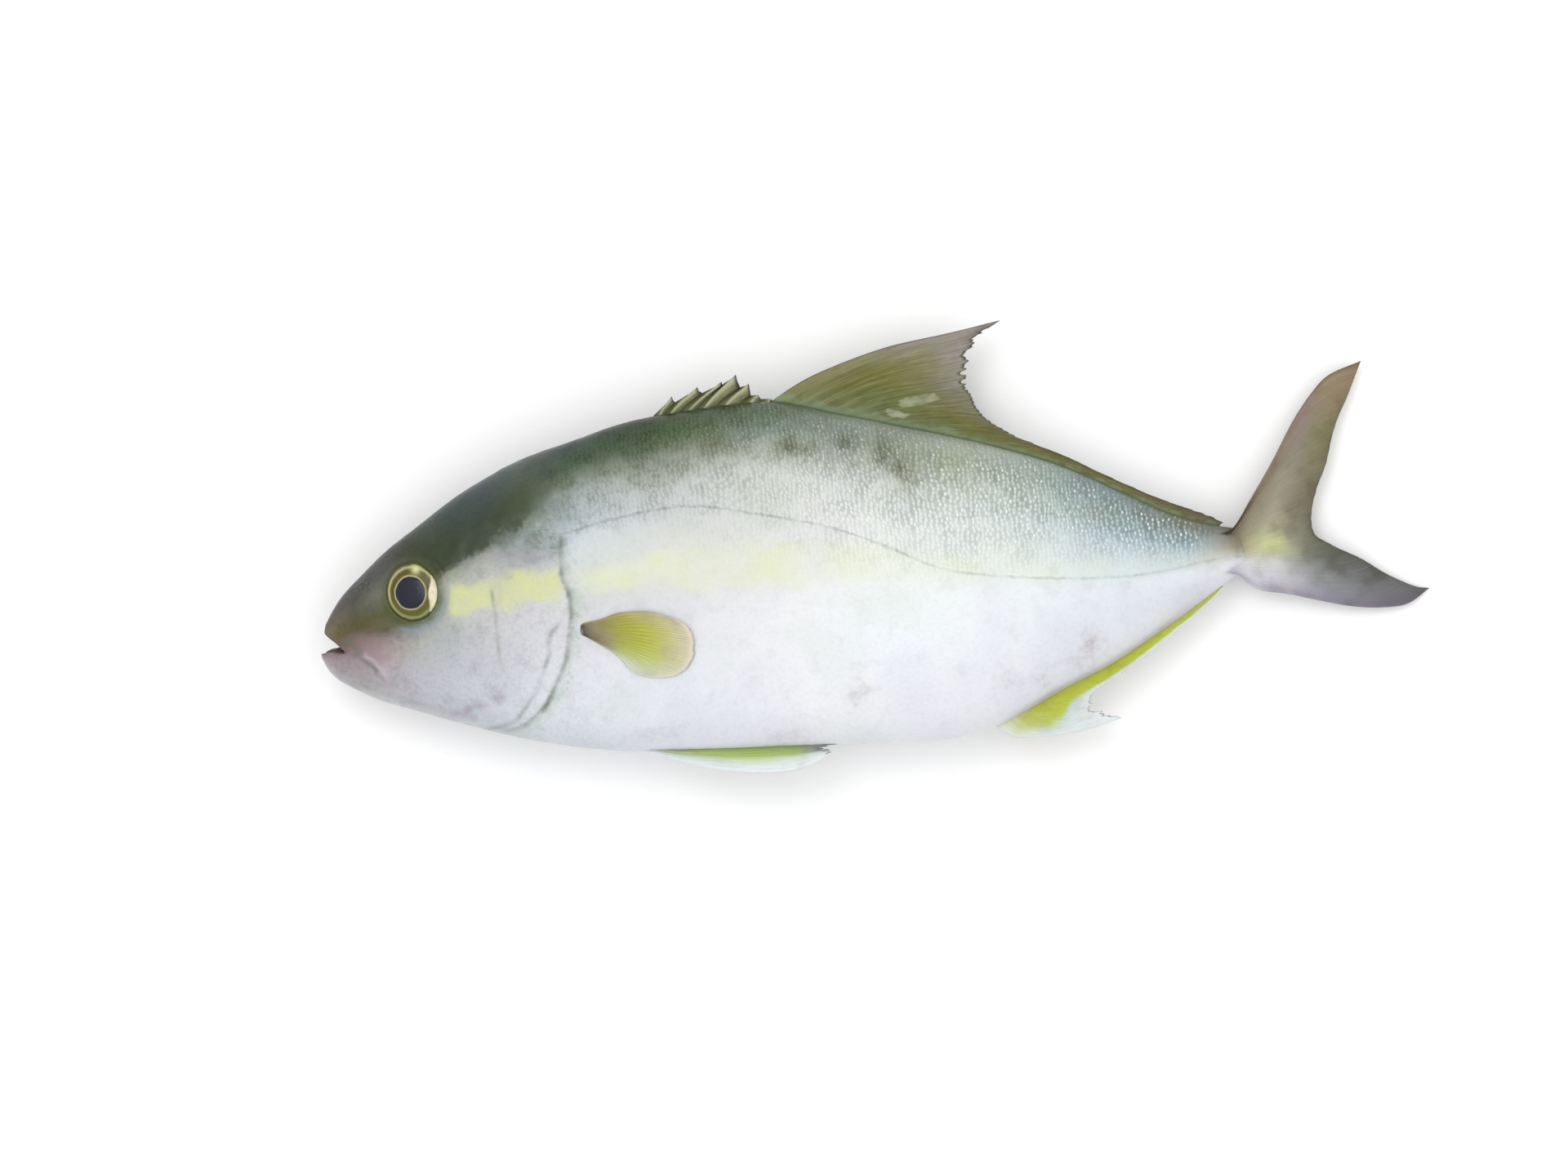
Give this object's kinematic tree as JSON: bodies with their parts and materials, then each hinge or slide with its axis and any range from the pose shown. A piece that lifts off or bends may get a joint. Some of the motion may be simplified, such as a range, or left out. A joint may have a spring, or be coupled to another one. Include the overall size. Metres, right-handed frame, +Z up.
{
  "type": "whole raw fish",
  "caption": "Whole raw amberjack-type fish lying on its side: deep tapered body, tall sickle-shaped rear dorsal fin, forked tail, and folded belly fins.",
  "frame": {"origin": "on the surface the fish lies on, below the middle of its bounding box", "axes": "+X along the fish from snout to tail, +Y across it from belly to back, +Z up through its left flank"},
  "size_m": [0.3888, 0.1494, 0.0451],
  "materials": {
    "skin": "wet, silvery, finely scaled skin, olive-green on the back and white on the belly",
    "eye": "clear wet cornea over a dark pupil and an olive-gold iris",
    "olive_fin": "moist olive fin membrane over fine rays",
    "yellow_fin": "moist yellow-green fin membrane over fine rays",
    "dusky_fin": "moist mauve-grey fin membrane over fine branched rays"
  },
  "bodies": {
    "root": {"body": "skin", "left_eye": "eye", "right_eye": "eye", "spiny_dorsal_fin": "olive_fin", "soft_dorsal_fin": "olive_fin", "anal_fin": "yellow_fin", "tail_fin": "dusky_fin", "left_pectoral_fin": "yellow_fin", "right_pectoral_fin": "yellow_fin", "left_pelvic_fin": "yellow_fin", "right_pelvic_fin": "yellow_fin"}
  },
  "joints": []
}
